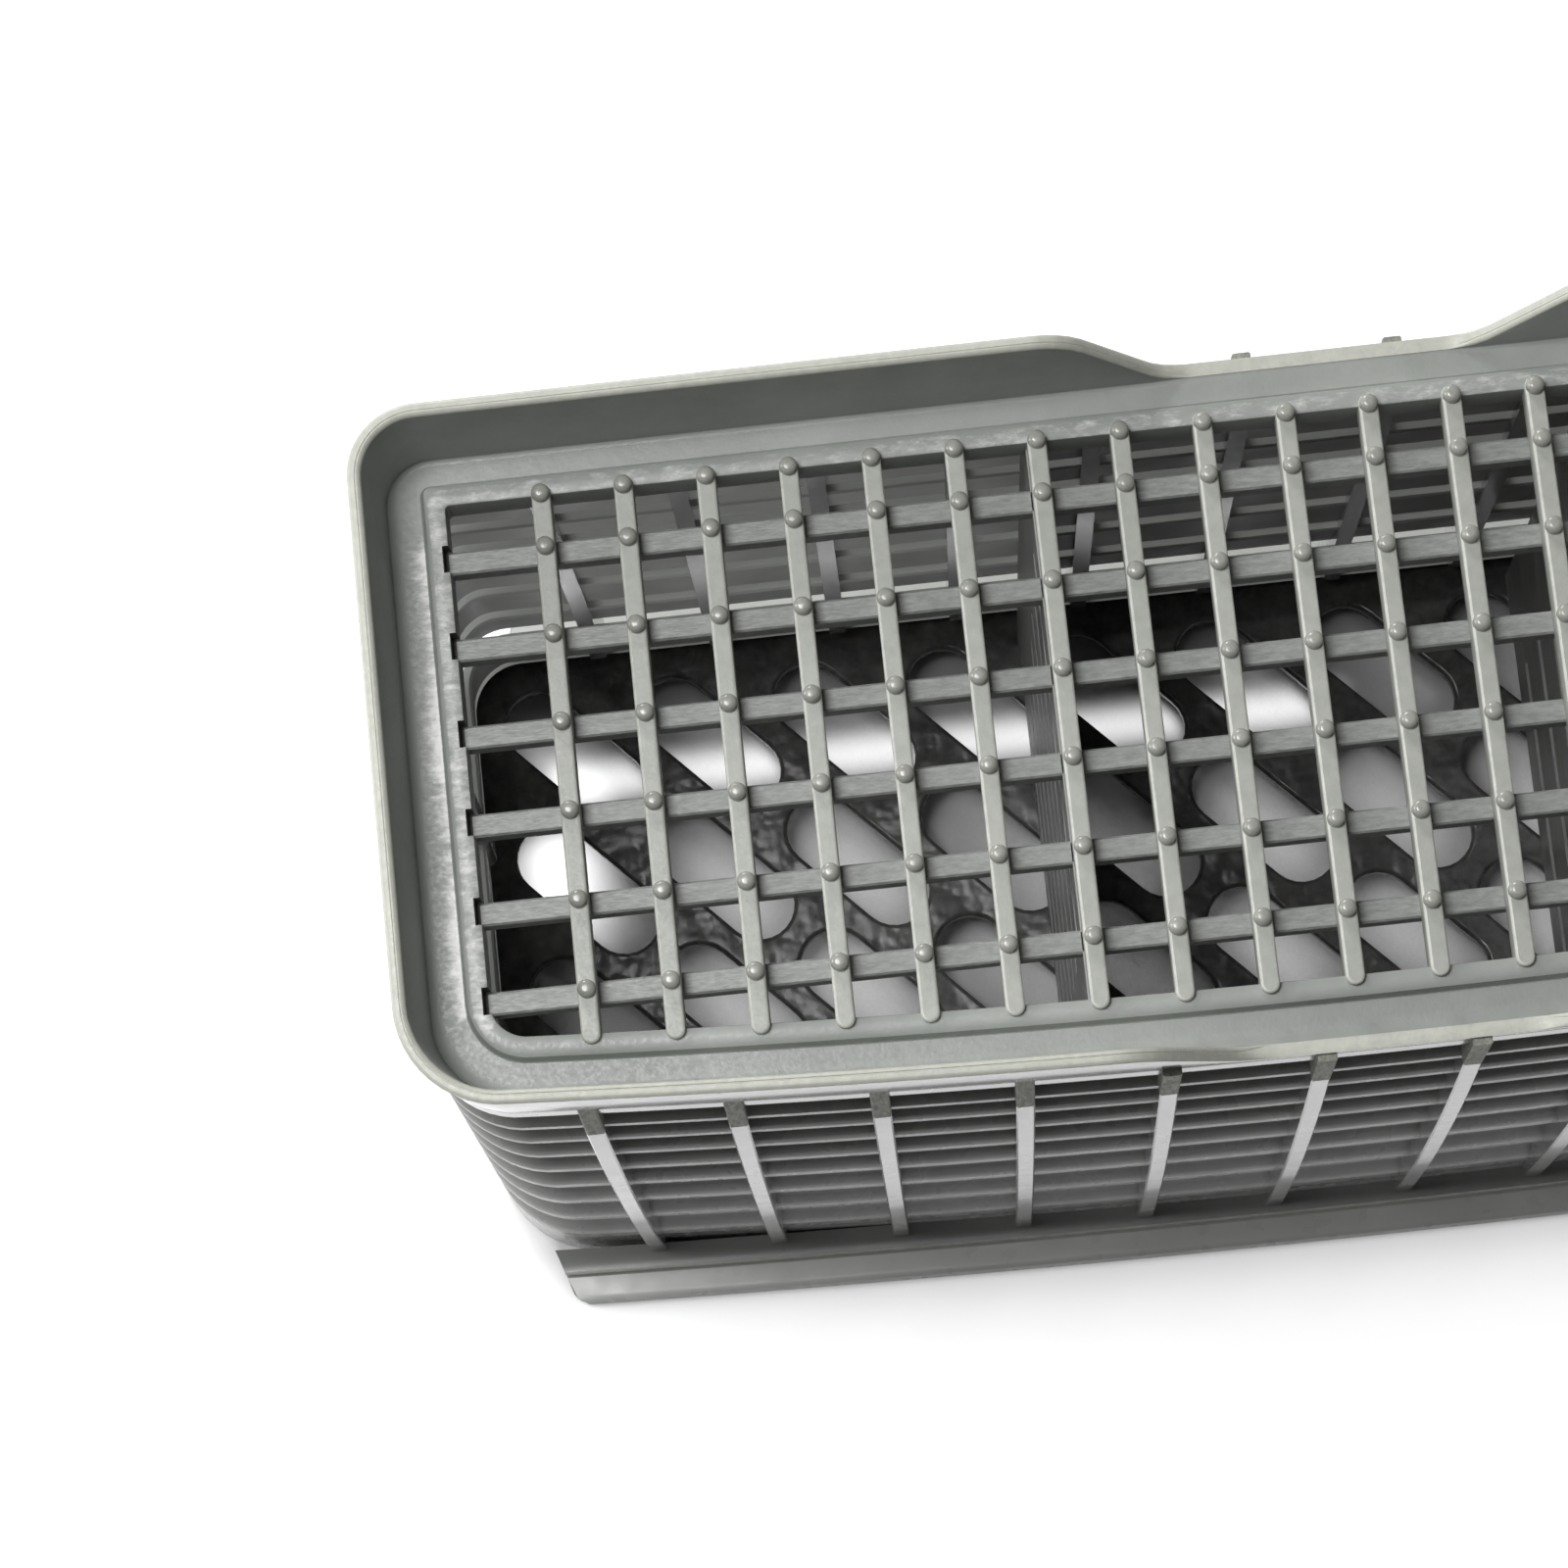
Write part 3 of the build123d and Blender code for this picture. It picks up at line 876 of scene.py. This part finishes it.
def make_ribs():
    """Upright ribs on all four walls, with rough heads under the skirt."""
    shape = Shape()
    bands = [1] + [0] * RIB_STEPS + [1]
    half_length = WALL_LENGTH / 2
    half_width = WALL_WIDTH / 2
    for x in RIB_PLACES:
        rows = rib_rows(x, RIB_STAND if abs(x) < DIP_TOP / 2 else RIB_HEAD_STAND, RIB_BOW)
        front = []
        back = []
        for row in rows:
            fronts = [front_edge(x, half_width + out, BOW_RADIUS + out) for along, out, z in row]
            front.append([(along, y, z) for (along, out, z), y in zip(row, fronts)])
            back.append([(along, half_width + out, z) for along, out, z in row])
        shape.stack(front, bands)
        shape.stack(back, bands)
    for y in END_RIB_PLACES:
        rows = rib_rows(y, RIB_HEAD_STAND, 0)
        for side in (-1, 1):
            end = [[(side * (half_length + out), along, z) for along, out, z in row] for row in rows]
            shape.stack(end, bands)
    return shape.make("wall_ribs", [gloss_face, rough_head], sharp=40)


def make_flange():
    """Stepped flange along both long sides of the mouth, with slanted round-cornered ends; its step and
    hollow carry painted shade, the step's edge a painted highlight, and the rest a lighter tone as painted
    light.
    """
    foot = WALL_WIDTH / 2 + MOUTH_REACH
    step = FLANGE_THICKNESS + STEP_HEIGHT
    foot_inside = [(-FLANGE_BITE, 0.0)]
    hollow = [(out, step + rise) for out, rise in STEP_HOLLOW]
    step_edge = [(STEP_STAND - STEP_EDGE, step), (STEP_STAND, step - STEP_EDGE)]
    ledge = [
        (STEP_STAND, FLANGE_THICKNESS + STEP_EDGE),
        (STEP_STAND + STEP_EDGE, FLANGE_THICKNESS),
        (FLANGE_STAND - FLANGE_ROUND, FLANGE_THICKNESS),
    ]
    edge = reversed(quarter_round(FLANGE_EDGE, SMALL_EDGE_STEPS))
    ledge += [(FLANGE_STAND - back, FLANGE_THICKNESS - drop) for back, drop in edge]
    ledge.append((FLANGE_STAND, 0.0))
    parts = (foot_inside, hollow, step_edge, ledge)
    columns = columns_of(parts, (0, 1, 2, 0))
    shape = Shape()
    for side in (-1, 1):
        rows = []
        for k in range(FLANGE_STEPS + 1):
            row = []
            for out, z in sum(parts, []):
                past = max(out - FLANGE_STAND + FLANGE_ROUND, 0)
                rounding = FLANGE_ROUND - math.sqrt(FLANGE_ROUND**2 - past**2)
                half = FLANGE_LENGTH / 2 + FLANGE_END_RUN * (1 - out / FLANGE_STAND) - rounding
                x = half * (2 * k / FLANGE_STEPS - 1)
                y = foot + out if side > 0 else front_edge(x, foot + out, FLANGE_BOW_RADIUS)
                row.append((x, y, z))
            rows.append(row)
        shape.stack(rows, columns=columns)
    return shape.make("mouth_flange", [lightened_flange_face, step_shade, highlight_edge], sharp=35)


def make_partitions():
    """Two cross walls of slats between plain margins."""
    foot = PLATE_TOP + PLATE_CLEARANCE
    slots = int((RAIL_BOTTOM - foot) // PARTITION_SLOT_PITCH)
    middle = (foot + RAIL_BOTTOM) / 2
    centres = [middle + (k - (slots - 1) / 2) * PARTITION_SLOT_PITCH for k in range(slots)]
    starts = [foot] + [z + PARTITION_SLOT_HEIGHT / 2 for z in centres]
    ends = [z - PARTITION_SLOT_HEIGHT / 2 for z in centres] + [BAR_BOTTOM]
    margin = OPENING_WIDTH / 2 - PARTITION_MARGIN
    side = WALL_WIDTH / 2 - RIM_THICKNESS + PARTITION_BITE
    shape = Shape()
    for x in (-PARTITION_SPACING / 2, PARTITION_SPACING / 2):
        low = x - PARTITION_THICKNESS / 2
        high = x + PARTITION_THICKNESS / 2
        shape.block((low, front_edge(x, side, BOW_RADIUS), foot), (high, -margin, BAR_BOTTOM))
        shape.block((low, margin, foot), (high, side, BAR_BOTTOM))
        for start, end in zip(starts, ends):
            shape.block((low, -margin, start), (high, margin, end))
    return shape.make("cross_walls", [cross_face], sharp=30)


def slot_plan(x, y):
    """The round-ended plan of one leaning slot of the separator."""
    lean = math.radians(SLOT_LEAN)
    plan = []
    for end in (1, -1):
        for k in range(SLOT_TURN_STEPS + 1):
            turn = math.radians(180 * k / SLOT_TURN_STEPS - 90)
            along = end * (SLOT_RUN / 2 + SLOT_WIDTH / 2 * math.cos(turn))
            across = end * SLOT_WIDTH / 2 * math.sin(turn)
            plan.append((
                x + along * math.cos(lean) - across * math.sin(lean),
                y + along * math.sin(lean) + across * math.cos(lean),
            ))
    return plan


def make_separator():
    """Slotted plate in the mouth with rounded edges, from a flat curve with holes."""
    curve = bpy.data.curves.new("separator_plan", "CURVE")
    curve.dimensions = "2D"
    curve.fill_mode = "BOTH"
    curve.extrude = ((PLATE_TOP - PLATE_BOTTOM) / 2 - PLATE_EDGE) * MM
    curve.bevel_depth = PLATE_EDGE * MM
    curve.bevel_resolution = EDGE_STEPS
    curve.offset = -PLATE_EDGE * MM
    grow = MOUTH_REACH - COLLAR_THICKNESS + REBATE_WIDTH - PLATE_CLEARANCE
    loops = [[outline_point(WALL, grow, run, share) for run, share in STATIONS[::2]]]
    for row in range(SLOT_ROWS):
        for column in range(SLOT_COLUMNS):
            x = SLOT_SHIFT[0] + (column - (SLOT_COLUMNS - 1) / 2) * SLOT_PITCH
            y = SLOT_SHIFT[1] + (row - (SLOT_ROWS - 1) / 2) * SLOT_ROW_PITCH
            loops.append(slot_plan(x, y))
    for loop in loops:
        spline = curve.splines.new("POLY")
        spline.points.add(len(loop) - 1)
        for point, (x, y) in zip(spline.points, loop):
            point.co = (x * MM, y * MM, 0, 1)
        spline.use_cyclic_u = True
    holder = bpy.data.objects.new("separator_plan", curve)
    bpy.context.scene.collection.objects.link(holder)
    mesh = bpy.data.meshes.new_from_object(holder.evaluated_get(bpy.context.evaluated_depsgraph_get()))
    bpy.data.objects.remove(holder)
    mesh.transform(Matrix.Translation((0, 0, (PLATE_TOP + PLATE_BOTTOM) / 2 * MM)))
    mesh.materials.clear()
    mesh.materials.append(flow_gloss)
    return add_object("separator", mesh, sharp=50)


louvres = make_louvres()
body_pieces = [make_bars(), make_rails(), make_studs(), make_frame(), make_rim(), louvres]
body_pieces += [make_collar(), make_ribs(), make_flange(), make_partitions()]
for piece in body_pieces:
    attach(piece, "root")
    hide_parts("basket_body")
separator = make_separator()
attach(separator, "root")
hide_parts("separator_plate")


# Stage
def make_floor():
    """A white floor that keeps the basket's shadow. Its glow, seen by the camera and in reflections, is
    dimmed by ambient occlusion near and under the basket as painted shade.
    """
    material = bpy.data.materials.new("floor")
    material.use_nodes = True
    nodes = material.node_tree.nodes
    links = material.node_tree.links
    shader = nodes["Principled BSDF"]
    shader.inputs["Base Color"].default_value = (*FLOOR_TONE, 1)
    shader.inputs["Roughness"].default_value = FLOOR_ROUGHNESS
    shader.inputs["Emission Color"].default_value = (1, 1, 1, 1)
    path = nodes.new("ShaderNodeLightPath")
    seen = nodes.new("ShaderNodeMath")
    seen.operation = "MAXIMUM"
    # Ambient occlusion dims the floor's glow near and under the basket: painted shade
    painted_shade_occlusion = nodes.new("ShaderNodeAmbientOcclusion")
    painted_shade_occlusion.inputs["Distance"].default_value = FLOOR_SHADE_REACH * MM
    lift = nodes.new("ShaderNodeMapRange")
    lift.inputs["From Min"].default_value = FLOOR_SHADE_DARK
    lift.inputs["From Max"].default_value = FLOOR_SHADE_LIGHT
    lift.inputs["To Max"].default_value = FLOOR_LIFT
    strength = nodes.new("ShaderNodeMath")
    strength.operation = "MULTIPLY"
    links.new(path.outputs["Is Camera Ray"], seen.inputs[0])
    links.new(path.outputs["Is Glossy Ray"], seen.inputs[1])
    links.new(painted_shade_occlusion.outputs["AO"], lift.inputs["Value"])
    links.new(seen.outputs[0], strength.inputs[0])
    links.new(lift.outputs["Result"], strength.inputs[1])
    links.new(strength.outputs[0], shader.inputs["Emission Strength"])
    half = FLOOR_HALF
    shape = Shape()
    shape.points = [(-half, -half, 0), (half, -half, 0), (half, half, 0), (-half, half, 0)]
    shape.face((0, 1, 2, 3))
    floor = shape.make("floor", [material], sharp=30)
    return floor


def add_softbox(name, place, target, size, power):
    """A soft square lamp at place, turned to target, in millimetres and watts."""
    light = bpy.data.lights.new(name, "AREA")
    light.size = size * MM
    light.energy = power
    lamp = bpy.data.objects.new(name, light)
    lamp.location = Vector(place) * MM
    lamp.rotation_euler = (Vector(target) - Vector(place)).to_track_quat("-Z", "Y").to_euler()
    bpy.context.scene.collection.objects.link(lamp)
    return lamp


def add_glow(name, place, size, spread, power, lit, blocking):
    """A small lamp inside that shines down on what is in lit, past all but what is in blocking.

    It stands for light that falls in through the louvres.
    """
    light = bpy.data.lights.new(name, "AREA")
    light.shape = "RECTANGLE"
    light.size = size[0] * MM
    light.size_y = size[1] * MM
    light.spread = math.radians(spread)
    light.energy = power
    lamp = bpy.data.objects.new(name, light)
    lamp.location = Vector(place) * MM
    lamp.light_linking.receiver_collection = lit
    lamp.light_linking.blocker_collection = blocking
    bpy.context.scene.collection.objects.link(lamp)


def make_world():
    """Dim neutral surroundings."""
    world = bpy.data.worlds.new("studio")
    world.use_nodes = True
    background = world.node_tree.nodes["Background"]
    background.inputs["Color"].default_value = (1, 1, 1, 1)
    background.inputs["Strength"].default_value = WORLD_LEVEL
    bpy.context.scene.world = world


def make_camera():
    """The camera at the photograph's place."""
    data = bpy.data.cameras.new("camera")
    data.lens = CAMERA_LENS
    data.sensor_width = CAMERA_SENSOR
    camera = bpy.data.objects.new("camera", data)
    axes = Matrix((CAMERA_RIGHT, CAMERA_UP, CAMERA_BACK)).transposed()
    camera.matrix_world = Matrix.Translation(Vector(CAMERA_PLACE) * MM) @ axes.to_4x4()
    bpy.context.scene.collection.objects.link(camera)
    bpy.context.scene.camera = camera


floor = make_floor()
make_world()
make_camera()
add_softbox("overhead", place=(-290, 65, 1090), target=(0, 0, 130), size=340, power=7.5)
add_softbox("left", place=(-900, 150, 420), target=(-60, 0, 100), size=300, power=4)
add_softbox("low_back", place=(-300, 900, 480), target=(-60, 0, 20), size=260, power=5)
lit = bpy.data.collections.new("lit_by_glows")
lit.objects.link(floor)
blocking = bpy.data.collections.new("blocking_glows")
blocking.objects.link(separator)
add_glow(
    "end_glow", place=(-106, 16, 18), size=(6, 24), spread=60, power=0.0022, lit=lit, blocking=blocking
)
add_glow(
    "back_glow", place=(-48, 26, 14), size=(116, 5), spread=25, power=0.0026, lit=lit, blocking=blocking
)
inside = bpy.data.collections.new("lit_by_inner_glow")
inside.objects.link(louvres)
inner_glow = add_softbox("inner_glow", place=(-80, -15, 80), target=(-80, 45, 85), size=70, power=0.012)
inner_glow.light_linking.receiver_collection = inside
bpy.context.scene.view_settings.view_transform = "Standard"
